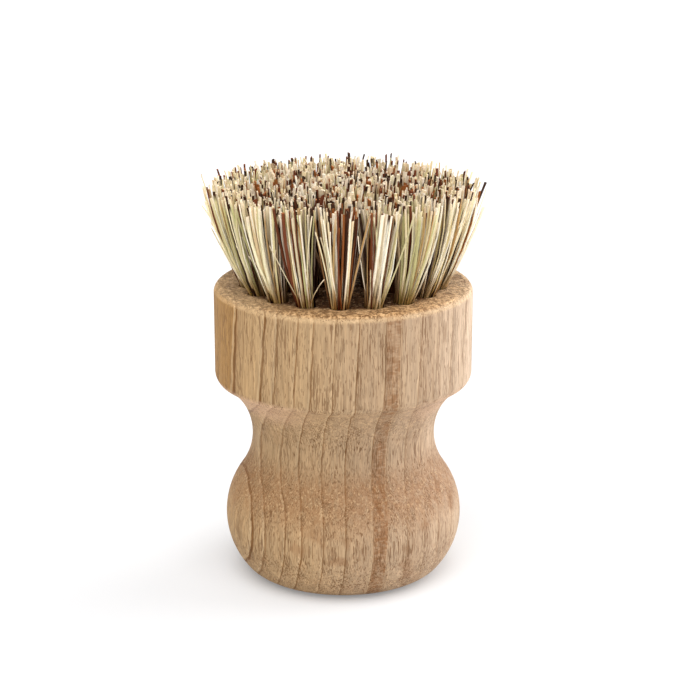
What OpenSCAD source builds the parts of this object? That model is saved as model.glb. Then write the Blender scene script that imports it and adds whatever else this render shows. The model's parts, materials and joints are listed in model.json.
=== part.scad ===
// Palm brush: one turned wooden block with a ball-shaped grip, a waisted neck and a broad
// head, its top face bored in rings, and one folded tuft of stiff plant fibre stapled into
// each bore. The block stands on its flat foot at z = 0 and its axis is the z axis.

/* [Grip] */
// Diameter of the grip at its widest
ball_d = 45.5; // [43:0.5:48]
// Radius of the grip's side, seen in section
ball_side_r = 15; // [14:0.25:16]
// Height of the grip's widest point above the foot
ball_mid_z = 11.3; // [10:0.1:12.5]
// Radius of the rounded edge of the foot
foot_edge_r = 5; // [3:0.25:6.5]

/* [Neck] */
// Diameter of the waist
neck_d = 35; // [33:0.5:37]
// Radius of the neck's hollow sweep, seen in section
neck_sweep_r = 12.8; // [12:0.1:14]

/* [Head] */
// Diameter of the head
head_d = 49; // [48:0.5:52]
// Height of the head from its underside to the bored face
head_h = 19.2; // [17:0.2:24]
// Height of the head's underside above the waist
head_rise = 10.3; // [10:0.1:11]
// Radius of the head's lower edge
head_low_edge_r = 2.3; // [2:0.1:3]
// Radius of the rim round the bored face
rim_edge_r = 1.5; // [0.5:0.1:2]

/* [Bores] */
// Diameter of each bore
bore_d = 4; // [3.6:0.1:4.4]
// Depth of each bore
bore_depth = 13; // [9:0.5:15]
// Distance from the middle of the outermost bores to the side of the head
rim_margin = 6.65; // [6:0.05:6.8]
// Number of rings round the bore in the middle
ring_count = 3; // [1:1:3]
// How many more bores each ring has than the ring inside it
ring_step = 6; // [4:1:6]
// Angle of the first bore of every ring
ring_angle = -92; // [-180:1:180]

/* [Tufts] */
// Radial gap between a tuft's packed root and its bore
root_fit = 0.05; // [0.02:0.01:0.15]
// Height of the bristles' tips above the bored face, on average
bristle_l = 19.2; // [14:0.2:30]
// How far the longest bristles pass that height, and the shortest fall short of it
bristle_uneven = 1.2; // [0:0.1:2]
// Side of one bristle's square section
bristle_w = 0.6; // [0.4:0.05:0.65]
// Number of bristles round the one in the middle of a tuft
inner_count = 4; // [3:1:4]
// Number of bristles in a tuft's outer ring
outer_count = 8; // [5:1:8]
// Radius of the inner ring where the bristles leave the bore
inner_root_r = 0.66; // [0.65:0.01:0.7]
// Radius of the outer ring where the bristles leave the bore
outer_root_r = 1.45; // [1.4:0.01:1.5]
// Radius of a tuft's outer ring at the bristles' tips
tip_spread_r = 3.2; // [1.5:0.1:3.2]
// How far the outermost tufts lean out by their tips
lean_out = 4.45; // [4:0.05:6]

/* [Staples] */
// Thickness of the staple's square wire
staple_wire = 0.5; // [0.3:0.05:0.6]
// Width of the staple over its legs
staple_w = 2.4; // [1.8:0.1:2.8]
// Height of the folded fibre under the staple's crown
fold_h = 1.4; // [0.8:0.1:2]
// Length of leg driven into the wood below the bore
leg_bite = 3; // [2:0.5:5]
// Gap between the wire and what it is pressed into
wire_fit = 0.02; // [0.01:0.01:0.05]

/* [Hidden] */
// Smoothness of round surfaces in a preview
$fn = 96;
// How far neighbouring rounds lap over each other, so that they cross cleanly
lap = 0.004;
// How far a cutting tool passes a face that it opens
past = 1;
// How deep the bristles are set into their tuft's root
set_in = 0.8;
// Angle between one bristle's length and the next one's in the run of lengths
uneven_turn = 137.5;

ball_r = ball_d / 2;
head_r = head_d / 2;
bore_r = bore_d / 2;
root_r = bore_r - root_fit;

// Centres of the rounds of the outline, as [radius from the axis, height]
ball_c = [ball_r - ball_side_r, ball_mid_z];
foot_reach = ball_side_r - foot_edge_r + lap;
foot_c = [ball_c.x + sqrt(foot_reach ^ 2 - (ball_mid_z - foot_edge_r) ^ 2), foot_edge_r - lap];
neck_reach = ball_side_r + neck_sweep_r - lap;
neck_x = neck_d / 2 + neck_sweep_r;
neck_c = [neck_x, ball_mid_z + sqrt(neck_reach ^ 2 - (neck_x - ball_c.x) ^ 2)];
head_low_z = neck_c.y + head_rise;
block_h = head_low_z + head_h;
low_edge_c = [head_r - head_low_edge_r + lap, head_low_z + head_low_edge_r];
rim_c = [head_r - rim_edge_r + lap, block_h - rim_edge_r + lap];

bore_floor = block_h - bore_depth;
outer_ring_r = head_r - rim_margin;
ring_pitch = outer_ring_r / ring_count;
shades = ["#cdbf8f", "#b9a874", "#d8cfae", "#a5673c"];

function unit(v) = v / norm(v);
function polar(r, angle) = [r * cos(angle), r * sin(angle)];

// Each bore as [node name, angle, radius from the axis]; the middle one comes first
bores = [
    ["tuft_middle", ring_angle, 0],
    for (ring = [1 : ring_count])
        let (count = ring * ring_step)
            for (i = [0 : count - 1])
                [str("tuft_ring", ring, "_", i + 1), ring_angle + i * 360 / count, ring * ring_pitch]
];

// Each bristle's place in a tuft as [angle, radius at the root, radius at the tip]
inner_tip_r = tip_spread_r * inner_root_r / outer_root_r;
bristles = [
    [0, 0, 0],
    for (i = [0 : inner_count - 1]) [i * 360 / inner_count, inner_root_r, inner_tip_r],
    for (i = [0 : outer_count - 1]) [(i + 0.5) * 360 / outer_count, outer_root_r, tip_spread_r]
];

// A round of the outline, and the half plane above the line that parts the grip from the foot
module round_at(centre, r) {
    translate(centre) circle(r = r);
}

module grip_side() {
    down = unit(foot_c - ball_c);
    reach = 2 * ball_side_r;
    top = ball_mid_z + ball_side_r + past;
    intersection() {
        round_at(ball_c, ball_side_r);
        polygon([[-past, foot_c.y], foot_c, foot_c + reach * down, [ball_r + reach, top], [-past, top]]);
    }
}

module outline_core() {
    neck_touch = ball_c + ball_side_r * unit(neck_c - ball_c);
    polygon([
        [-past, -past], [foot_c.x, -past], foot_c, neck_touch, neck_c, low_edge_c,
        [head_r + past, low_edge_c.y], [head_r + past, rim_c.y], rim_c,
        [rim_c.x, block_h + past], [-past, block_h + past]
    ]);
}

// Half of the turned outline, right of the axis
module block_outline() {
    difference() {
        intersection() {
            square([head_r, block_h]);
            union() {
                outline_core();
                grip_side();
                round_at(foot_c, foot_edge_r);
                round_at(low_edge_c, head_low_edge_r);
                round_at(rim_c, rim_edge_r);
            }
        }
        round_at(neck_c, neck_sweep_r);
    }
}

// Moves its children to the bottom of a bore, turned to face outwards from the axis
module in_bore(bore) {
    rotate(bore[1]) translate([bore[2], 0, bore_floor]) children();
}

// A staple over the fold of a tuft, standing on the bore's floor; grow is the gap round it
module staple_shape(grow = 0) {
    wire = staple_wire + 2 * grow;
    leg_y = (staple_w - staple_wire) / 2;
    crown_z = fold_h + staple_wire / 2;
    translate([0, 0, crown_z]) cube([wire, staple_w + 2 * grow, wire], center = true);
    for (side = [-1, 1])
        translate([-wire / 2, side * leg_y - wire / 2, -leg_bite - grow])
            cube([wire, wire, leg_bite + crown_z + grow]);
}

module wood_block() {
    color("#c79f6f")
        difference() {
            rotate_extrude() block_outline();
            for (bore = bores)
                in_bore(bore) {
                    cylinder(r = bore_r, h = bore_depth + past);
                    staple_shape(wire_fit);
                }
        }
}

module staples() {
    color("#b8bcc0")
        for (bore = bores) in_bore(bore) staple_shape();
}

// One straight bristle of square section, which leaves its root towards a point that lies run away
module bristle(root, run, length) {
    turn = atan2(run.y, run.x);
    translate(root)
        rotate([0, acos(run.z / norm(run)), turn]) rotate(-turn)
            translate([-bristle_w / 2, -bristle_w / 2, -set_in])
                cube([bristle_w, bristle_w, length + set_in]);
}

// One tuft: its root packed round the staple, and its bristles fanned out above the bore
module tuft(index) {
    bore = bores[index];
    lean = lean_out * bore[2] / outer_ring_r;
    color(shades[index % len(shades)])
        in_bore(bore) {
            difference() {
                cylinder(r = root_r, h = bore_depth);
                staple_shape(wire_fit);
            }
            for (i = [0 : len(bristles) - 1]) {
                root = polar(bristles[i][1], bristles[i][0]);
                reach = polar(bristles[i][2], bristles[i][0]) + [lean, 0] - root;
                run = [reach.x, reach.y, bristle_l];
                uneven = bristle_uneven * sin(uneven_turn * (i + index * len(bristles)));
                bristle([root.x, root.y, bore_depth], run, norm(run) * (1 + uneven / bristle_l));
            }
        }
}

wood_block();
staples();
for (i = [0 : len(bores) - 1])
    tuft(i);
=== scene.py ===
import json
import math
import random
import bpy
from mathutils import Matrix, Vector


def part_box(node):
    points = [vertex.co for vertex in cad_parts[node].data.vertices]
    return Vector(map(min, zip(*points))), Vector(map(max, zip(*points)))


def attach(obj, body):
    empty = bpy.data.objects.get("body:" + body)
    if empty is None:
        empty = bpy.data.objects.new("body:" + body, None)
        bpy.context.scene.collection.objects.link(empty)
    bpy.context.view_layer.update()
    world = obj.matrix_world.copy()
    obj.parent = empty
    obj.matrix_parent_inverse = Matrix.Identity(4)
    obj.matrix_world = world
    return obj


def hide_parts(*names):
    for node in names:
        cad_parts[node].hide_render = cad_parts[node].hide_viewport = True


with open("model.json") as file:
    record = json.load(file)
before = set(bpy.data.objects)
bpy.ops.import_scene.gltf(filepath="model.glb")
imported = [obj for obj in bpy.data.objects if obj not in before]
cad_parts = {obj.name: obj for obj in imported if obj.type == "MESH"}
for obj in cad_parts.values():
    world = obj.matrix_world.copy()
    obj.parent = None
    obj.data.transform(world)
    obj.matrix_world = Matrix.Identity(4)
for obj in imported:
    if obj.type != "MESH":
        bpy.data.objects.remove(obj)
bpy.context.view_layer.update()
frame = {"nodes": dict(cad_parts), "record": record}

# Palm brush: a turned wooden block that shows its growth rings and pores, and 37 tufts of mixed
# plant fibre, each made of single fibres. Lengths are in millimetres until they go into Blender,
# and angles are in degrees.
MM = 0.001
WHITE = (1, 1, 1, 1)

# Camera, as the photograph was taken: its distance from a target on the axis, the angle it looks
# down at, the target's height, its lens and shift, and the nearest and furthest that it sees
CAMERA_REACH = 400
CAMERA_RISE = 17.64
CAMERA_TARGET_Z = 39
CAMERA_LENS = 107.35
CAMERA_SHIFT = (0.0096, 0.0327)
CAMERA_SIGHT = (10, 100000)

# The light that the room throws on the brush, while the camera sees the room as white
ROOM_COLOUR = "#fbfcff"
ROOM_STRENGTH = 0.74

# The floor reaches this far to each side, this little below the foot. It throws light back as one
# grey, and shows the camera a darker grey with this much glow, so that it is white where it is lit
# and its shadow is pale.
FLOOR_REACH = 6000
FLOOR_DROP = 0.05
FLOOR_GREY = 0.8
FLOOR_SEEN_GREY = 0.58
FLOOR_GLOW = 0.23

# Tufts: how many fibres and short strays each has, the radius of its bore, the gap that is left to
# the bore's wall, and the height of the slice of a root in which its middle is found
FIBRES_PER_TUFT = 62
STRAYS_PER_TUFT = 4
BORE_R = 2.0
BORE_GAP = 0.05
ROOT_SLICE = 0.1
# Tufts whose bore lies within this share of the outer ring's radius are inner ones, and a bore
# nearer to the axis than this is the middle one
INNER_SHARE = 0.9
ON_AXIS = 0.1

# A tuft's radius at the bored face and at its tips, how far a tip strays from its place, and how
# far the outermost tufts lean out by their tips
ROOT_REACH = 1.7
TIP_REACH = 3.8
TIP_STRAY = 1.1
LEAN_OUT = 4.0
# Height of the tips above the bored face, how much it varies, and how far short some fall
BRISTLE_RISE = 19.2
RISE_SPREAD = 0.3
SHORTFALL = 0.55
# Each fibre is turned on from the last by the golden angle, or a little more or less
GOLDEN_ANGLE = 137.5
TURN_STRAY = 12

# Sorts of fibre: the share of all fibres up to and with that sort, the least and greatest width,
# and the least and greatest depth as a share of the width
FIBRE_SORTS = (
    (0.45, (0.24, 0.4), (0.7, 1.0)),
    (0.93, (0.4, 0.62), (0.4, 0.65)),
    (1.0, (0.6, 0.8), (0.35, 0.5)),
)
FIBRE_SIDES = 6
INNER_WIDTH = 1.12
# How slim a fibre may be at its root, and the slope of its cut
SLIMMEST = 0.8
CUT_SLOPE = 0.3
# How deep a fibre sits in its bore, how far it bends by chance and, in the outer ring, outwards
SUNK = 3.0
BOW = 0.3
BOW_OUT = 0.7
# The heights of a fibre's sections as shares of its length, before those near its tip
FIBRE_HEIGHTS = (0.0, 0.16, 0.42, 0.7)
# How far below its tip a fibre's last section with painted shade lies, and how long its end with the
# painted highlight is
SHADE_END_L = 2.0
HIGHLIGHT_END_L = 0.7

# Strays: how far from the bore's middle they start, how high they rise, how far their tips go
# aside, outwards and away from the bore's middle, and their width and colours
STRAY_ROOT = (0.8, 1.8)
STRAY_RISE = (6, 17)
STRAY_ASIDE = 1.7
STRAY_OUT = 1.5
STRAY_FAN = 1.2
STRAY_WIDTH = (0.16, 0.3)
STRAY_COLOURS = ("ivory", "cream", "sand")

# Fibre colours as seen in soft white light
FIBRE_COLOURS = {
    "ivory": "#faf0d8",
    "cream": "#f3e4bb",
    "straw": "#dfd09c",
    "olive": "#c6be86",
    "sand": "#dcc8a2",
    "tan": "#bf9a66",
    "orange": "#985a2c",
    "red": "#6b3922",
    "black": "#40281a",
}
# How far a fibre's tint varies from its colour, in lightness and in warmth, and how far a dark
# end varies in lightness
TINT_SPREAD = 0.16
WARM_SPREAD = 0.05
DARK_SPREAD = 0.4

# The painted shade deep between the tufts: how deep it is on the inner tufts and on the backs of
# the outer ones, what counts as a back, and its share at each section below the tip
DEEP_SHADE_COLOUR = "#86583c"
DEEP_INSIDE = 0.9
DEEP_BEHIND = 0.7
BACK_BELOW = 0.1
DEEP_SHADE_SHARES = (1.0, 1.0, 1.0, 0.96, 0.66, 0.25)
# Painted shade and grime on the fibres fade out between these heights above the bored face, more or
# less unevenly
ROOT_SHADE_AND_GRIME = "#b3966a"
ROOT_DARK_FADE = (1.0, 8.0)
ROOT_DARK_UNEVEN = 3.0
# Cut ends: how green a tint must be to count as pale, the colours of pale cuts, paler in themselves
# and with a painted highlight from above, and of brown cuts, how far the cut and the end below it
# take them on, how often an end is dark, and how dark the piths are
PALE_FROM = 0.2
CUT_PALE_AND_HIGHLIGHT = "#ffe6ca"
CUT_BROWN = "#a8663a"
CUT_BLEND = (0.4, 0.9)
END_HIGHLIGHT_BLEND = (0.1, 0.6)
DARK_END_SHARE = 0.06
PITH_SHARES = (0.9, 0.6, 0.2, 0.0)

# How often each colour comes in a tuft of that kind
TUFT_KINDS = {
    "straw": {"cream": 8, "straw": 5, "olive": 4, "ivory": 5, "tan": 1, "red": 1.6, "black": 0.8},
    "pale": {"ivory": 7, "cream": 6, "sand": 2, "straw": 2, "olive": 2, "tan": 1, "red": 2.2,
             "black": 1.6},
    "brown": {"ivory": 6, "cream": 6, "tan": 2, "orange": 2, "red": 3.6, "black": 1.6},
    "mixed": {"cream": 8, "ivory": 9, "straw": 4, "olive": 2, "sand": 1, "tan": 1.5, "orange": 1,
              "red": 2.4, "black": 1.2},
    "inner": {"cream": 8, "ivory": 10, "straw": 3, "olive": 1.5, "sand": 2, "tan": 2, "orange": 1.6,
              "red": 3.0, "black": 1.5},
    "back": {"cream": 6, "straw": 6, "olive": 5, "ivory": 3, "tan": 2, "orange": 1.5, "red": 2.5,
             "black": 1.6},
}
# The kinds of the tufts at the front, as the photograph shows them
FRONT_KINDS = {
    "tuft_ring3_14": "straw", "tuft_ring3_15": "straw", "tuft_ring3_16": "straw",
    "tuft_ring3_17": "pale", "tuft_ring3_18": "pale", "tuft_ring3_1": "brown",
    "tuft_ring3_2": "pale", "tuft_ring3_3": "straw", "tuft_ring3_4": "pale",
    "tuft_ring3_5": "mixed",
}
# Each tuft has a dark cluster, which reaches this far to each side of its middle. How often a
# fibre in it is dark hangs on the tuft's kind, and a dark one is this much wider.
CLUSTER_WIDTH = 45
CLUSTER_SHARES = {
    "straw": 0.12, "pale": 0.3, "brown": 0.4, "mixed": 0.45, "inner": 0.55, "back": 0.3,
}
CLUSTER_COLOURS = {"orange": 2.5, "red": 4, "black": 2.5, "tan": 1.5}
CLUSTER_FIBRE_WIDTH = 1.3

# Wood: the growth rings lie in planes that face the front but for this turn, and lean this much
# to the left for each millimetre down. Their edges lie at these distances from the axis, left to
# right, at the height of RING_LEVEL. The ring between the band's edges is browner.
RING_TURN = 10.6
RING_LEAN = 0.049
RING_LEVEL = 47
RING_EDGES = (
    -27, -22.7, -18.4, -16.3, -13, -10.3, -6.4, -2.1, 3.2, 6.15, 10, 13.8, 17, 20.5, 23.5, 27,
)
FIRST_EDGE = RING_EDGES[1]
BAND_LEFT, BAND_RIGHT = RING_EDGES[8:10]
# How far the rings waver and shake, from one side to the other
RING_WAVER = 1.0
RING_SHAKE = 0.5
# Widths of the rings' lines at the far left and elsewhere, how many fine lines a ring has, and the
# numbers that set which rings are dark and which are clear
LINE_WIDTHS = (0.32, 0.21)
FINE_LINES = 4.0
SHADE_SEED = 3.0
CLEAR_SEED = 17.0

WOOD_LEFT = "#c0a077"
# Towards the right the wood turns whiter: partly its own tone, partly painted light from the right
WOOD_RIGHT_TONE_AND_LIGHT = "#bda184"
WOOD_EDGE = "#b48a54"
# Painted light: the paler colour laid on the right side, where the key lamp falls
WOOD_PAINTED_LIGHT = "#dcc2a7"
WOOD_RING = "#7d5731"
WOOD_PALE = "#d8ba92"
WOOD_PORE = "#6b4728"
WOOD_RED = "#865a36"
# Painted highlight: the pale pink laid on the faces under the head that look down
WOOD_UNDERSIDE_HIGHLIGHT = "#dcb495"
WOOD_END = "#c4925c"
WOOD_WORN = "#ecc898"
# Painted shade laid on the bored face among the tufts
WOOD_TUFT_SHADE = "#64463b"

# Marks on the wood: how strongly each shows where it is fullest, and its colour
WOOD_MARKS = {
    "first_ring": (1.0, WOOD_EDGE),
    "left_side": (0.3, WOOD_EDGE),
    # painted light on the right side
    "painted_light_right": (1.0, WOOD_PAINTED_LIGHT),
    "ring_pale": (0.45, WOOD_PALE),
    "ring_shade": (0.17, WOOD_RING),
    "ring_line": (0.88, WOOD_RING),
    "fine_line": (0.24, WOOD_RING),
    "ring_tone": (0.15, WOOD_RING),
    "band": (1.0, WOOD_RED),
    "thread": (0.22, WOOD_RING),
    "blotch": (0.4, WOOD_RED),
    "shoulder": (1.0, WOOD_RED),
    # painted highlight under the head
    "underside": (0.5, WOOD_UNDERSIDE_HIGHLIGHT),
    "pale_tear": (0.26, WOOD_WORN),
    "dark_tear": (0.22, WOOD_RING),
    # wear on the rim, with a painted highlight along its edge
    "worn_rim_and_highlight": (0.28, WOOD_WORN),
    # painted light on the bored face at the left
    "painted_light_rim_left": (0.5, WOOD_PALE),
    "end_grain": (1.0, WOOD_END),
    # painted shade among the tufts
    "soil": (0.9, WOOD_TUFT_SHADE),
    "crumble": (0.6, WOOD_WORN),
    "speck": (1.0, WOOD_PORE),
    "pore": (0.42, WOOD_PORE),
    "long_pore": (0.7, WOOD_PORE),
}

# Patterns of noise in the wood: the width of a grain, its length up the block, its detail, its
# roughness, and an offset that sets the pattern apart from the others
WOOD_GRAINS = {
    "sides": (11, 30, 2, 0.5, (0, 0, 0)),
    "waver": (9, 32, 2, 0.5, (0, 0, 0)),
    "shake": (1.5, 4, 2, 0.5, (8, 2, 6)),
    "fine_lines": (3, 30, 2, 0.5, (0, 0, 0)),
    "uneven": (6, 12, 1, 0.5, (6, 6, 1)),
    "streak": (0.9, 22, 3, 0.6, (0, 0, 0)),
    "fibre": (0.22, 4, 2, 0.6, (7, 3, 1)),
    "thread": (0.3, 9, 3, 0.6, (1, 5, 9)),
    "chatter": (1.4, 0.5, 2, 0.6, (3, 8, 2)),
    "faded": (9, 5, 1, 0.5, (2, 2, 6)),
    "blotch": (5, 5, 2, 0.5, (1, 6, 2)),
    "torn": (0.5, 0.7, 2, 0.6, (6, 8, 3)),
    "crumble": (0.7, 0.7, 3, 0.7, (4, 4, 4)),
    "pore": (0.2, 1.6, 1, 0.4, (2, 9, 5)),
    "pore_field": (1.6, 12, 1, 0.5, (5, 1, 8)),
    "long_pore": (0.19, 7, 1, 0.3, (3, 3, 7)),
    "long_pore_field": (2.5, 9, 1, 0.5, (9, 4, 1)),
}

# Where the wood's looks change, each from one place to another: places across the rings, which
# run from left to right, then distances to both sides, heights above the foot and radii
WOOD_ZONES = {
    "sides": (-12.0, 20.0),
    "left_side": (-16.0, -22.0),
    "painted_light_right": (9.0, 24.0),
    "thin_lines": (-20.0, -14.0),
    "faint_lines": (-10.0, 16.0),
    "clear_lines": (-18.0, -22.0),
    "painted_light_rim_left": (-14.0, -20.0),
    "end_aside": (8.0, 22.0),
    "speck_aside": (8.0, 20.0),
    "underside_aside": (6.0, 18.0),
    "painted_light_right_height": (20.0, 34.0),
    "band_height": (24.0, 14.0),
    "blotch_height": (36.0, 20.0),
    "shoulder_height": (34.0, 30.0),
    "underside_height": (32.0, 36.0),
    "long_pore_height": (16.0, 8.0),
    "soil_radius": (19.8, 18.2),
}
# The rim is worn, and has a painted highlight along its edge, between these depths below the bored
# face
RIM_DEPTHS = (1.9, 0.7)

# Lightness of the wood and of the fibres, as (place in the streaks, level)
WOOD_TONES = ((0.34, 0.72), (0.5, 0.95), (0.66, 1.18))
FIBRE_TONES = ((0.3, 0.68), (0.5, 1.0), (0.7, 1.16))
# How dark a fine line is along its way from one line to the next
FINE_LINE = ((0, 0), (0.75, 0.3), (0.95, 1), (1, 0))

# Surfaces: the least and greatest roughness, the strength of the shine, and the depths of grooves
WOOD_ROUGHNESS = (0.6, 0.74)
WOOD_SHINE = 0.12
WOOD_GROOVE = 0.05
END_GRAIN_GROOVE = 0.25
FIBRE_ROUGHNESS = (0.5, 0.7)
FIBRE_SHINE = 0.1
FIBRE_GROOVE = 0.03
WIRE_COLOURS = ("#8f9294", "#bcbfc1")
WIRE_ROUGHNESS = (0.28, 0.5)
WIRE_GROOVE = 0.01


def linear(colour):
    """A colour written as #rrggbb, as the linear values that a shader takes."""
    parts = [int(colour[i:i + 2], 16) / 255 for i in (1, 3, 5)]
    return tuple(p / 12.92 if p <= 0.04045 else ((p + 0.055) / 1.055) ** 2.4 for p in parts) + (1,)


def bored_face():
    """The height of the block's bored face."""
    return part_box("wood_block")[1].z / MM


class Graph:
    """A material's nodes, with short ways to add and join them."""

    def __init__(self, name):
        self.material = bpy.data.materials.new(name)
        self.material.use_nodes = True
        self.tree = self.material.node_tree
        self.shader = self.tree.nodes["Principled BSDF"]
        place = self.add("ShaderNodeTexCoord").outputs["Object"]
        self.place = self.vector("SCALE", place, scale=1 / MM)

    def add(self, kind, **settings):
        """A new node with those settings."""
        node = self.tree.nodes.new(kind)
        for name, value in settings.items():
            setattr(node, name, value)
        return node

    def feed(self, socket, value):
        """Joins a socket to another node's output, or gives it a fixed value."""
        if isinstance(value, bpy.types.NodeSocket):
            self.tree.links.new(value, socket)
        elif isinstance(value, str):
            socket.default_value = linear(value)
        else:
            socket.default_value = value

    def vector(self, operation, first, second=None, scale=None):
        """The result of a vector operation."""
        node = self.add("ShaderNodeVectorMath", operation=operation)
        self.feed(node.inputs[0], first)
        if second is not None:
            self.feed(node.inputs[1], second)
        if scale is not None:
            self.feed(node.inputs["Scale"], scale)
        return node.outputs["Value" if operation in ("DOT_PRODUCT", "LENGTH") else "Vector"]

    def component(self, vector, axis):
        """One part of a vector, by the name of its axis."""
        split = self.add("ShaderNodeSeparateXYZ")
        self.feed(split.inputs[0], vector)
        return split.outputs[axis]

    def math(self, operation, *values):
        """The result of an operation on numbers."""
        node = self.add("ShaderNodeMath", operation=operation)
        for socket, value in zip(node.inputs, values):
            self.feed(socket, value)
        return node.outputs[0]

    def times(self, product, *factors):
        """The product of all the values."""
        for factor in factors:
            product = self.math("MULTIPLY", product, factor)
        return product

    def plus(self, total, *values):
        """The sum of all the values."""
        for value in values:
            total = self.math("ADD", total, value)
        return total

    def less(self, value, taken):
        """What is left of a value when the second is taken from it."""
        return self.math("SUBTRACT", value, taken)

    def mix(self, factor, first, second, blend="MIX"):
        """The first colour, blended with the second as far as the factor says."""
        node = self.add("ShaderNodeMix", data_type="RGBA", blend_type=blend)
        colours = [s for s in node.inputs if s.type == "RGBA"]
        self.feed(node.inputs[0], factor)
        self.feed(colours[0], first)
        self.feed(colours[1], second)
        return [s for s in node.outputs if s.type == "RGBA"][0]

    def noise(self, width, length, detail=2.0, roughness=0.5, offset=(0, 0, 0)):
        """Noise of about 0 to 1 whose grains have that width, and that length upwards."""
        stretched = self.vector("MULTIPLY", self.place, (1 / width, 1 / width, 1 / length))
        node = self.add("ShaderNodeTexNoise")
        self.feed(node.inputs["Vector"], self.vector("ADD", stretched, offset))
        for name, value in (("Scale", 1.0), ("Detail", detail), ("Roughness", roughness)):
            node.inputs[name].default_value = value
        return node.outputs["Fac"]

    def drawn(self, number, seed):
        """A level of 0 to 1 that is drawn by chance for each whole number."""
        node = self.add("ShaderNodeTexWhiteNoise", noise_dimensions="1D")
        self.feed(node.inputs["W"], self.plus(number, seed))
        return node.outputs["Value"]

    def step(self, value, low, high, to_low=0.0, to_high=1.0):
        """Goes smoothly from to_low to to_high as value goes from low to high."""
        node = self.add("ShaderNodeMapRange", interpolation_type="SMOOTHSTEP")
        for socket, given in zip(node.inputs, (value, low, high, to_low, to_high)):
            self.feed(socket, given)
        return node.outputs[0]

    def ramp(self, value, stops):
        """Grey levels from stops = ((place, level), ...)."""
        node = self.add("ShaderNodeValToRGB")
        elements = node.color_ramp.elements
        while len(elements) > 1:
            elements.remove(elements[-1])
        elements[0].position = stops[0][0]
        for at, _ in stops[1:]:
            elements.new(at)
        for element, (_, level) in zip(elements, stops):
            element.color = (level, level, level, 1)
        self.feed(node.inputs[0], value)
        return node.outputs["Color"]

    def lines_through(self, value, places):
        """Straight lines from place to place in places = ((value, result), ...), which rise."""
        (first, first_result), (last, last_result) = places[0], places[-1]
        span, rise = last - first, last_result - first_result
        curve = self.add("ShaderNodeFloatCurve")
        points = curve.mapping.curves[0].points
        for at, result in places[1:-1]:
            points.new((at - first) / span, (result - first_result) / rise)
        for point in points:
            point.handle_type = "VECTOR"
        curve.mapping.update()
        self.feed(curve.inputs["Value"], self.math("DIVIDE", self.less(value, first), span))
        return self.plus(self.times(curve.outputs[0], rise), first_result)

    def bump(self, height, depth, below=None):
        """A normal bent by a height of 0 to 1 that stands for depth millimetres."""
        node = self.add("ShaderNodeBump")
        self.feed(node.inputs["Height"], height)
        node.inputs["Distance"].default_value = depth * MM
        if below is not None:
            self.feed(node.inputs["Normal"], below)
        return node.outputs["Normal"]


def set_camera():
    rise = math.radians(CAMERA_RISE)
    back = Vector((0, -math.cos(rise), math.sin(rise)))
    camera = bpy.data.objects.new("camera", bpy.data.cameras.new("camera"))
    camera.location = Vector((0, 0, CAMERA_TARGET_Z * MM)) + back * CAMERA_REACH * MM
    camera.rotation_euler = (math.pi / 2 - rise, 0, 0)
    camera.data.lens = CAMERA_LENS
    camera.data.shift_x, camera.data.shift_y = CAMERA_SHIFT
    camera.data.clip_start, camera.data.clip_end = [reach * MM for reach in CAMERA_SIGHT]
    bpy.context.scene.collection.objects.link(camera)
    bpy.context.scene.camera = camera
    bpy.context.scene.view_settings.view_transform = "Standard"


def add_sun(name, azimuth, elevation, strength, softness):
    """A soft white light from that azimuth, where 0 is the camera's side and 90 the right."""
    turn, rise = math.radians(azimuth), math.radians(elevation)
    level = math.cos(rise)
    towards = Vector((math.sin(turn) * level, -math.cos(turn) * level, math.sin(rise)))
    light = bpy.data.lights.new(name, "SUN")
    light.energy, light.angle = strength, math.radians(softness)
    sun = bpy.data.objects.new(name, light)
    sun.rotation_euler = towards.to_track_quat("Z", "Y").to_euler()
    bpy.context.scene.collection.objects.link(sun)


def background_rays(nodes, links):
    """1 for a ray that shows the background to the eye, straight or by a mirror or glass, else 0."""
    path = nodes.new("ShaderNodeLightPath")
    total = path.outputs["Is Camera Ray"]
    for name in ("Is Glossy Ray", "Is Transmission Ray"):
        added = nodes.new("ShaderNodeMath")
        added.operation, added.use_clamp = "ADD", True
        links.new(total, added.inputs[0])
        links.new(path.outputs[name], added.inputs[1])
        total = added.outputs[0]
    return total


def set_light():
    """A room that the camera sees as white, a key light from the right and one from above."""
    world = bpy.data.worlds.new("room")
    bpy.context.scene.world = world
    world.use_nodes = True
    nodes, links = world.node_tree.nodes, world.node_tree.links
    room = nodes["Background"]
    room.inputs["Color"].default_value = linear(ROOM_COLOUR)
    room.inputs["Strength"].default_value = ROOM_STRENGTH
    seen = nodes.new("ShaderNodeBackground")
    seen.inputs["Color"].default_value = WHITE
    chosen = nodes.new("ShaderNodeMixShader")
    links.new(background_rays(nodes, links), chosen.inputs[0])
    links.new(room.outputs[0], chosen.inputs[1])
    links.new(seen.outputs[0], chosen.inputs[2])
    links.new(chosen.outputs[0], nodes["World Output"].inputs["Surface"])
    add_sun("key", azimuth=112, elevation=24, strength=2.7, softness=60)
    add_sun("top", azimuth=-10, elevation=66, strength=2.0, softness=45)


def floor_material():
    material = bpy.data.materials.new("floor_white")
    material.use_nodes = True
    nodes, links = material.node_tree.nodes, material.node_tree.links
    shader = nodes["Principled BSDF"]
    shader.inputs["Roughness"].default_value = 1.0
    shader.inputs["Specular IOR Level"].default_value = 0.0
    shader.inputs["Emission Color"].default_value = WHITE
    rays = background_rays(nodes, links)
    for name, lit, seen in (
        ("Base Color", FLOOR_GREY, FLOOR_SEEN_GREY),
        ("Emission Strength", 0.0, FLOOR_GLOW),
    ):
        level = nodes.new("ShaderNodeMapRange")
        level.inputs["To Min"].default_value = lit
        level.inputs["To Max"].default_value = seen
        links.new(rays, level.inputs["Value"])
        links.new(level.outputs[0], shader.inputs[name])
    return material


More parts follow.
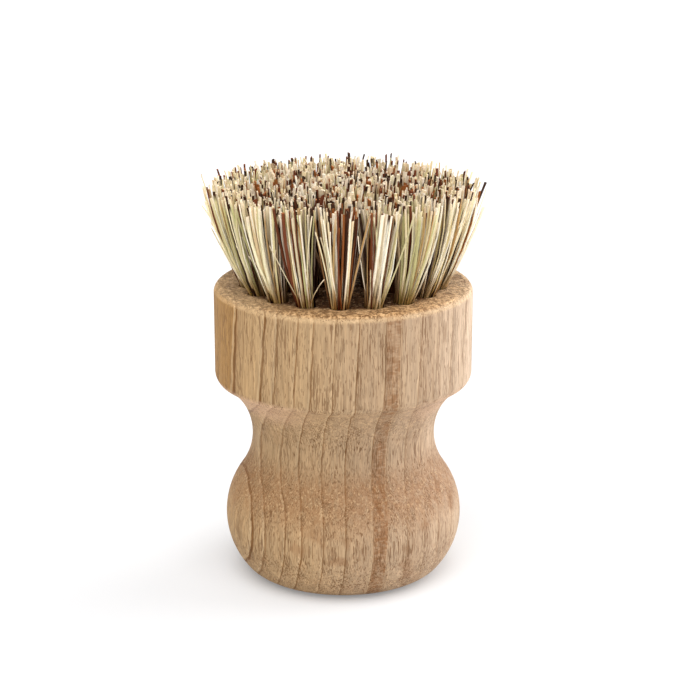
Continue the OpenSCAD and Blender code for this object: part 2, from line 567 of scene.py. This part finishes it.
def make_floor():
    reach, low = FLOOR_REACH * MM, -FLOOR_DROP * MM
    sides = ((-1, -1), (1, -1), (1, 1), (-1, 1))
    mesh = bpy.data.meshes.new("floor")
    mesh.from_pydata([(x * reach, y * reach, low) for x, y in sides], [], [(0, 1, 2, 3)])
    mesh.materials.append(floor_material())
    floor = bpy.data.objects.new("floor", mesh)
    bpy.context.scene.collection.objects.link(floor)


class Wood:
    """The block's wood: a plain colour, with marks laid over it one after another.

    A mark is a level that is 1 where it shows in full. across is the place across the growth
    rings, aside its distance to either side, and ringed the place that the wavering rings see.
    upward is 1 where the surface faces up.
    """

    def __init__(self):
        g = self.g = Graph("wood")
        slant = (1.0, math.tan(math.radians(RING_TURN)), -RING_LEAN)
        self.across = g.plus(g.vector("DOT_PRODUCT", g.place, slant), RING_LEAN * RING_LEVEL)
        self.aside = g.math("ABSOLUTE", self.across)
        self.height = g.component(g.place, "Z")
        self.upward = g.component(g.add("ShaderNodeNewGeometry").outputs["Normal"], "Z")
        self.grain = {name: g.noise(*pattern) for name, pattern in WOOD_GRAINS.items()}
        waver = g.times(g.less(self.grain["waver"], 0.5), RING_WAVER)
        shake = g.times(g.less(self.grain["shake"], 0.5), RING_SHAKE)
        self.ringed = g.plus(self.across, waver, shake)
        self.count_rings()
        self.end_grain = g.step(self.upward, 0.55, 0.95)
        self.blotch = g.step(self.grain["blotch"], 0.56, 0.7)
        self.speck = g.step(self.grain["crumble"], 0.5, 0.6)
        more = g.step(self.past, 0.6, 2.0, 0.05, 0.0)
        self.pore = self.pores("pore", 0.82, 0.4, more, 0.05)
        more = self.zone(self.height, "long_pore_height", 0.0, 0.06)
        self.long_pore = self.pores("long_pore", 0.88, 0.42, more, 0.03)

    def count_rings(self):
        """Which ring a place lies in, with a fraction and without, and how far from its edges."""
        g = self.g
        edges = [(float(i), edge) for i, edge in enumerate(RING_EDGES)]
        self.age = g.lines_through(self.ringed, [(edge, i) for i, edge in edges])
        self.whole = g.math("FLOOR", self.age)
        self.past = g.less(self.ringed, g.lines_through(self.whole, edges))
        self.ahead = g.less(g.lines_through(g.plus(self.whole, 1.0), edges), self.ringed)

    def pores(self, name, level, gathered, more, soft):
        """Pores where their pattern is above a level, which is lower where they gather."""
        g = self.g
        field = g.times(self.grain[name + "_field"], gathered)
        edge = g.less(g.less(level, field), more)
        return g.step(g.less(self.grain[name], edge), 0.0, soft)

    def zone(self, value, name, to_low=0.0, to_high=1.0):
        """Goes from to_low to to_high over the zone of that name."""
        return self.g.step(value, *WOOD_ZONES[name], to_low, to_high)

    def lay(self, name, *factors, blend="MIX"):
        """Lays the mark of that name over the wood, where the product of the factors says."""
        strength, colour = WOOD_MARKS[name]
        self.base = self.g.mix(self.g.times(*factors, strength), self.base, colour, blend)

    def lay_sides(self):
        """The wood's colour, whiter towards the right partly in its own tone and partly as painted
        light, the first ring, the left side, and a painted highlight on the right side, weaker lower
        down.
        """
        g = self.g
        uneven = g.times(self.grain["sides"], 12.0)
        side = self.zone(g.plus(self.across, uneven), "sides")
        # Whiter towards the right: partly the wood's own tone, partly painted light
        self.base = g.mix(side, WOOD_LEFT, WOOD_RIGHT_TONE_AND_LIGHT)
        self.lay("first_ring", g.step(self.ringed, FIRST_EDGE + 0.3, FIRST_EDGE - 0.3))
        self.lay("left_side", self.zone(self.across, "left_side"))
        # Painted light on the right side, weaker lower down on the neck and the ball
        high = self.zone(self.height, "painted_light_right_height", 0.4, 1.0)
        self.lay("painted_light_right", self.zone(self.across, "painted_light_right"), high)

    def lay_rings(self):
        """The rings' lines, which are clearer on the left and in some rings than in others."""
        g = self.g
        clear = g.plus(g.drawn(self.whole, CLEAR_SEED), self.zone(self.across, "clear_lines"))
        clarity = g.times(
            self.zone(self.across, "faint_lines", 1.0, 0.36),
            g.step(clear, 0.0, 0.8, 0.6, 1.05),
            g.step(self.grain["uneven"], 0.36, 0.56, 0.75, 1.1),
        )
        pale = g.times(g.step(self.ahead, 0.06, 0.16), g.step(self.ahead, 0.3, 0.5, 1.0, 0.0))
        self.lay("ring_pale", pale, clarity)
        self.lay("ring_shade", g.step(self.past, 0.1, 1.6, 1.0, 0.0), clarity)
        width = self.zone(self.across, "thin_lines", *LINE_WIDTHS)
        line = g.step(g.math("DIVIDE", self.past, width), 0.7, 1.3, 1.0, 0.0)
        self.lay("ring_line", line, clarity)
        fine = g.plus(g.times(self.age, FINE_LINES), self.grain["fine_lines"])
        self.lay("fine_line", g.ramp(g.math("FRACT", fine), FINE_LINE), clarity)
        self.lay("ring_tone", g.step(g.drawn(self.whole, SHADE_SEED), 0.0, 1.0))

    def lay_band(self):
        """The browner ring, streaked, chattered by the turning tool and faded in places."""
        g = self.g
        self.lay(
            "band",
            g.step(self.ringed, BAND_LEFT, BAND_LEFT + 0.4),
            g.step(self.ringed, BAND_RIGHT - 0.2, BAND_RIGHT, 1.0, 0.0),
            g.step(self.grain["streak"], 0.3, 0.6, 0.4, 1.0),
            g.step(self.grain["chatter"], 0.36, 0.56, 0.45, 1.0),
            g.step(self.grain["faded"], 0.4, 0.56, 0.65, 1.15),
            self.zone(self.height, "band_height", 0.65, 0.75),
        )

    def lay_streaks(self):
        """Dark threads up the block, and lighter and darker streaks."""
        g = self.g
        self.lay("thread", g.step(self.grain["thread"], 0.52, 0.6))
        tone = g.plus(g.times(self.grain["streak"], 0.5), g.times(self.grain["fibre"], 0.5))
        self.base = g.mix(1.0, self.base, g.ramp(tone, WOOD_TONES), "MULTIPLY")

    def lay_turning(self):
        """What the turning laid bare: blotches, and torn and worn grain where the side slopes, with a
        painted highlight under the head and along the worn rim's edge.
        """
        g = self.g
        self.lay("blotch", self.blotch, self.zone(self.height, "blotch_height"))
        shoulder = g.times(g.step(self.upward, 0.02, 0.5), self.zone(self.height, "shoulder_height"))
        self.lay("shoulder", shoulder, g.step(self.grain["streak"], 0.3, 0.6, 0.22, 0.55))
        # Painted highlight on the downward faces under the head, stronger towards both sides
        under = g.times(g.step(self.upward, -0.1, -0.6), self.zone(self.height, "underside_height"))
        self.lay("underside", under, self.zone(self.aside, "underside_aside"))
        oblique = g.step(g.less(1.0, g.times(self.upward, self.upward)), 0.99, 0.8)
        torn = self.grain["torn"]
        self.lay("pale_tear", oblique, g.step(torn, 0.56, 0.66))
        bare = g.step(self.upward, -0.3, 0.2, 0.3, 1.0)
        self.lay("dark_tear", oblique, bare, g.step(torn, 0.44, 0.36))
        # Paler rounded rim: partly wear, partly a painted highlight along the edge
        low, high = [bored_face() - depth for depth in RIM_DEPTHS]
        self.lay("worn_rim_and_highlight", g.step(self.upward, 0.1, 0.4), g.step(self.height, low, high))

    def lay_end_grain(self):
        """The bored face, rough and specked, paler towards both sides as painted light, and darkened
        round the tufts as painted shade.
        """
        g, end_grain = self.g, self.end_grain
        # Painted light: the bored face is paler at the left, and its end-grain colour fades towards
        # both sides
        self.lay("painted_light_rim_left", end_grain, self.zone(self.across, "painted_light_rim_left"))
        self.lay("end_grain", end_grain, self.zone(self.aside, "end_aside", 0.6, 0.2))
        # Painted shade: the bored face among the tufts is darkened
        radius = g.vector("LENGTH", g.vector("MULTIPLY", g.place, (1, 1, 0)))
        self.lay("soil", end_grain, self.zone(radius, "soil_radius"), blend="MULTIPLY")
        self.lay("crumble", end_grain, g.step(self.grain["crumble"], 0.46, 0.36))
        # Fewer specks towards both sides, as painted light
        self.lay("speck", end_grain, self.speck, self.zone(self.aside, "speck_aside", 0.56, 0.26))
        self.lay("blotch", end_grain, self.blotch)

    def lay_pores(self):
        self.lay("pore", self.pore)
        self.lay("long_pore", self.long_pore)

    def finished(self):
        """The material, with its colour, its shine and its grooves."""
        g, shader = self.g, self.g.shader
        g.feed(shader.inputs["Base Color"], self.base)
        g.feed(shader.inputs["Roughness"], g.step(self.grain["streak"], 0.2, 0.8, *WOOD_ROUGHNESS))
        shader.inputs["Specular IOR Level"].default_value = WOOD_SHINE
        grooves = g.bump(g.less(g.times(self.grain["fibre"], 0.5), self.pore), WOOD_GROOVE)
        crumbled = g.times(self.speck, self.end_grain, -1.0)
        g.feed(shader.inputs["Normal"], g.bump(crumbled, END_GRAIN_GROOVE, grooves))
        return g.material


def wood_material():
    wood = Wood()
    wood.lay_sides()
    wood.lay_rings()
    wood.lay_band()
    wood.lay_streaks()
    wood.lay_turning()
    wood.lay_end_grain()
    wood.lay_pores()
    return wood.finished()


def fibre_material(name):
    """Dry plant fibre whose colour comes from each fibre's tint, which carries painted shade and
    highlights, and which is darker near the bored face with painted shade and grime.
    """
    g = Graph(name)
    tint = g.add("ShaderNodeAttribute", attribute_name="tint").outputs["Color"]
    streak = g.noise(0.09, 3.2, roughness=0.6)
    patch = g.noise(0.7, 5, offset=(3, 1, 2))
    tone = g.plus(g.times(streak, 0.6), g.times(patch, 0.4))
    colour = g.mix(1.0, tint, g.ramp(tone, FIBRE_TONES), "MULTIPLY")
    # Painted shade and grime: the fibres are darker near the bored face
    height = g.plus(g.component(g.place, "Z"), g.times(patch, ROOT_DARK_UNEVEN))
    low, high = [bored_face() + rise for rise in ROOT_DARK_FADE]
    colour = g.mix(g.step(height, low, high, 1.0, 0.0), colour, ROOT_SHADE_AND_GRIME, "MULTIPLY")
    g.feed(g.shader.inputs["Base Color"], colour)
    g.feed(g.shader.inputs["Roughness"], g.step(patch, 0.3, 0.7, *FIBRE_ROUGHNESS))
    g.shader.inputs["Specular IOR Level"].default_value = FIBRE_SHINE
    g.feed(g.shader.inputs["Normal"], g.bump(streak, FIBRE_GROOVE))
    return g.material


def wire_material():
    """Drawn steel wire with fine scratches."""
    g = Graph("wire")
    scratch = g.noise(0.1, 1.5, detail=3.0)
    g.feed(g.shader.inputs["Base Color"], g.mix(g.step(scratch, 0.35, 0.65), *WIRE_COLOURS))
    g.feed(g.shader.inputs["Roughness"], g.step(scratch, 0.3, 0.7, *WIRE_ROUGHNESS))
    g.shader.inputs["Metallic"].default_value = 1.0
    g.feed(g.shader.inputs["Normal"], g.bump(scratch, WIRE_GROOVE))
    return g.material


def level_way(degrees):
    """The level direction that is turned that far from the x axis."""
    turn = math.radians(degrees)
    return Vector((math.cos(turn), math.sin(turn), 0))


def level_chance(chance, spread):
    """A level step by chance, mostly no longer than that spread each way."""
    return Vector((chance.gauss(0, spread), chance.gauss(0, spread), 0))


def pick(chance, weights):
    """One of the names in weights, as often as its weight says."""
    return chance.choices(list(weights), list(weights.values()))[0]


def blended(first, second, share):
    """A tint that lies that share of the way from the first to the second."""
    return tuple(a + (b - a) * share for a, b in zip(first, second))


def varied(chance, colour, spread):
    """A fibre colour's tint, a little lighter or darker, and a little warmer or cooler."""
    red, green, blue, _ = linear(FIBRE_COLOURS[colour])
    level = 1 + chance.uniform(-spread, spread)
    warm = 1 + chance.uniform(-WARM_SPREAD, WARM_SPREAD)
    return (red * level * warm, green * level, blue * level / warm, 1)


def deep_shaded(tint, share):
    """A tint darkened by that share of the painted shade that lies deep between the fibres."""
    deep_shade = blended(WHITE, linear(DEEP_SHADE_COLOUR), share)
    return tuple(part * shade_part for part, shade_part in zip(tint, deep_shade))


def end_tints(chance, tint):
    """The tints of a fibre's end and of its cut, which are paler with a painted highlight, browner or
    both dark.
    """
    pale = tint[1] > PALE_FROM
    cut = blended(tint, linear(CUT_PALE_AND_HIGHLIGHT if pale else CUT_BROWN), chance.uniform(*CUT_BLEND))
    if chance.random() < DARK_END_SHARE:
        dark = varied(chance, "black", DARK_SPREAD)
        return dark, dark
    # A pale fibre's end and cut take on a painted highlight from above; the cut is also paler in
    # itself
    if pale:
        return blended(tint, linear(CUT_PALE_AND_HIGHLIGHT), chance.uniform(*END_HIGHLIGHT_BLEND)), cut
    return tint, cut


def fibre_size(chance):
    """The width and depth of a fibre: most are narrow, some are flat splinters of leaf."""
    drawn = chance.random()
    widths, depths = next(sizes for share, *sizes in FIBRE_SORTS if drawn < share)
    width = chance.uniform(*widths)
    return width, width * chance.uniform(*depths)


class FibreMesh:
    """Collects single fibres into one mesh with a tint at each point."""

    def __init__(self):
        self.points, self.faces, self.tints = [], [], []

    def ring(self, middle, half_width, half_depth, turn, tint, slope):
        """One cross-section of a fibre: a flattened round, turned about the upright and sloped."""
        first = len(self.points)
        for i in range(FIBRE_SIDES):
            a = 2 * math.pi * i / FIBRE_SIDES
            u, v = half_width * math.cos(a), half_depth * math.sin(a)
            x, y = u * math.cos(turn) - v * math.sin(turn), u * math.sin(turn) + v * math.cos(turn)
            self.points.append((middle + Vector((x, y, slope.x * x + slope.y * y))) * MM)
            self.tints.append(tint)
        return first

    def fibre(self, stations, widths, depth, turn, tints, cut):
        """A fibre through stations from its root to its tip, with cut = (slope, tint, pith's tint)."""
        slope, cut_tint, pith_tint = cut
        slopes = [Vector((0, 0))] * (len(stations) - 1) + [slope]
        rings = [
            self.ring(place, width / 2, depth / 2, turn, tint, tilt)
            for place, width, tint, tilt in zip(stations, widths, tints, slopes)
        ]
        for low, high in zip(rings, rings[1:]):
            for i in range(FIBRE_SIDES):
                j = (i + 1) % FIBRE_SIDES
                self.faces.append((low + i, low + j, high + j, high + i))
        edge = self.ring(stations[-1], widths[-1] / 2, depth / 2, turn, cut_tint, slope)
        middle = len(self.points)
        self.points.append(stations[-1] * MM)
        self.tints.append(pith_tint)
        for i in range(FIBRE_SIDES):
            self.faces.append((edge + i, edge + (i + 1) % FIBRE_SIDES, middle))

    def build(self, name, material):
        """The object that holds all the fibres, round at their sides and flat at their cuts."""
        mesh = bpy.data.meshes.new(name)
        mesh.from_pydata(self.points, [], self.faces)
        tint = mesh.color_attributes.new("tint", "FLOAT_COLOR", "POINT")
        tint.data.foreach_set("color", [c for point in self.tints for c in point])
        for polygon in mesh.polygons:
            polygon.use_smooth = len(polygon.vertices) == 4
        mesh.materials.append(material)
        made = bpy.data.objects.new(name, mesh)
        bpy.context.scene.collection.objects.link(made)
        return made


def bore_middle(node):
    """The middle of a tuft's bore, from the lowest points of its packed root."""
    corners = [v.co / MM for v in frame["nodes"][node].data.vertices]
    floor = min(c.z for c in corners)
    low = [c for c in corners if c.z < floor + ROOT_SLICE]
    spans = ([c.x for c in low], [c.y for c in low])
    return Vector([(min(span) + max(span)) / 2 for span in spans] + [0])


class Fan:
    """The fibres of one tuft, fanned out from its bore and leaning away from the axis."""

    def __init__(self, node, middle, outer_r):
        self.mesh, self.chance = FibreMesh(), random.Random(node)
        self.middle, self.face = middle, bored_face()
        out_share = middle.length / outer_r
        self.inside = out_share < INNER_SHARE
        self.kind = FRONT_KINDS.get(node, "inner" if self.inside else "back")
        self.outward = middle.normalized() if middle.length > ON_AXIS else Vector((0, 0, 0))
        self.lean = self.outward * LEAN_OUT * out_share
        self.bulge = self.outward * BOW_OUT * out_share ** 2

    def at(self, away, rise=0.0):
        """The place that lies away from the bore's middle, that high above the bored face."""
        return self.middle + away + Vector((0, 0, self.face + rise))

    def add_fibre(self, root, tip, size, tint, bend, deep_shade=0.0):
        """A fibre from the depth of its bore, through root on the bored face, to its cut tip.

        bend is how far it goes to one side at half its height, and the last argument how deep the
        painted shade lies on it below its tip.
        """
        chance, (width, depth) = self.chance, size
        run = tip - root
        bow = level_chance(chance, BOW) + bend
        heights = FIBRE_HEIGHTS + (1 - SHADE_END_L / run.z, 1 - HIGHLIGHT_END_L / run.z, 1.0)
        stations = [Vector((root.x, root.y, self.face - SUNK))]
        stations += [root + run * h + bow * 4 * h * (1 - h) for h in heights]
        slim = chance.uniform(SLIMMEST, 1.0)
        widths = [width * slim] * 2 + [width * (slim + (1 - slim) * h) for h in heights[1:]]
        # The end and tip carry the end tint, with the painted highlight of pale fibres
        end, cut = end_tints(chance, tint)
        # The sections below the tip carry the painted shade
        tints = [deep_shaded(tint, deep_shade * share) for share in DEEP_SHADE_SHARES] + [end, end]
        slope = level_chance(chance, CUT_SLOPE).xy
        pith = blended(cut, linear(FIBRE_COLOURS["black"]), chance.choice(PITH_SHARES))
        turn = chance.uniform(0, math.pi)
        self.mesh.fibre(stations, widths, depth, turn, tints, (slope, cut, pith))

    def add_fibres(self):
        """The fibres that fill the bore, each further from its middle than the last."""
        chance = self.chance
        cluster = chance.uniform(0, 360)
        start = chance.uniform(0, 360)
        for i in range(FIBRES_PER_TUFT):
            width, depth = fibre_size(chance)
            width *= INNER_WIDTH if self.inside else 1.0
            share = math.sqrt((i + 0.5) / FIBRES_PER_TUFT)
            turn = start + i * GOLDEN_ANGLE + chance.uniform(-TURN_STRAY, TURN_STRAY)
            way = level_way(turn)
            root = self.at(way * min(ROOT_REACH * share, BORE_R - width / 2 - BORE_GAP))
            stray = level_chance(chance, TIP_STRAY)
            rise = BRISTLE_RISE + chance.gauss(0, RISE_SPREAD) - chance.expovariate(1 / SHORTFALL)
            tip = self.at(way * TIP_REACH * share + self.lean + stray, rise)
            off = abs((turn - cluster + 180) % 360 - 180)
            clustered = off < CLUSTER_WIDTH and chance.random() < CLUSTER_SHARES[self.kind]
            width *= CLUSTER_FIBRE_WIDTH if clustered else 1.0
            colour = pick(chance, CLUSTER_COLOURS if clustered else TUFT_KINDS[self.kind])
            tint = varied(chance, colour, TINT_SPREAD)
            behind = way.dot(self.outward) < BACK_BELOW
            # Painted shade deep inside the brush and on the backs of the outer tufts
            deep_shade = DEEP_INSIDE if self.inside else DEEP_BEHIND if behind else 0.0
            self.add_fibre(root, tip, (width, depth), tint, self.bulge, deep_shade)

    def add_strays(self):
        """Short thin fibres that stand out of the fan."""
        chance = self.chance
        for _ in range(STRAYS_PER_TUFT):
            way = level_way(chance.uniform(0, 360))
            root = self.at(way * chance.uniform(*STRAY_ROOT))
            rise = chance.uniform(*STRAY_RISE)
            aside = level_chance(chance, STRAY_ASIDE) + self.outward * chance.uniform(0, STRAY_OUT)
            lean = self.lean * rise / BRISTLE_RISE
            tip = root + lean + way * STRAY_FAN + aside + Vector((0, 0, rise))
            tint = varied(chance, chance.choice(STRAY_COLOURS), TINT_SPREAD)
            width = chance.uniform(*STRAY_WIDTH)
            self.add_fibre(root, tip, (width, width), tint, Vector((0, 0, 0)))


def make_tuft(node, middle, outer_r, material):
    fan = Fan(node, middle, outer_r)
    fan.add_fibres()
    fan.add_strays()
    tuft = fan.mesh.build(node + "_fibres", material)
    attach(tuft, "root")
    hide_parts(node)


def give_material(node, material):
    mesh = frame["nodes"][node].data
    mesh.materials.clear()
    mesh.materials.append(material)


set_camera()
set_light()
make_floor()
give_material("wood_block", wood_material())
give_material("staples", wire_material())
fibres = {name: fibre_material(name) for name in ("light_bristle", "dark_bristle")}
slots = {part["node"]: part["material_slot"] for part in frame["record"]["subparts"]}
middles = {node: bore_middle(node) for node in sorted(frame["nodes"]) if node.startswith("tuft_")}
outermost = max(m.length for m in middles.values())
for tuft_node, bore in middles.items():
    tuft_slot = slots[tuft_node]
    make_tuft(tuft_node, bore, outermost, fibres[tuft_slot])
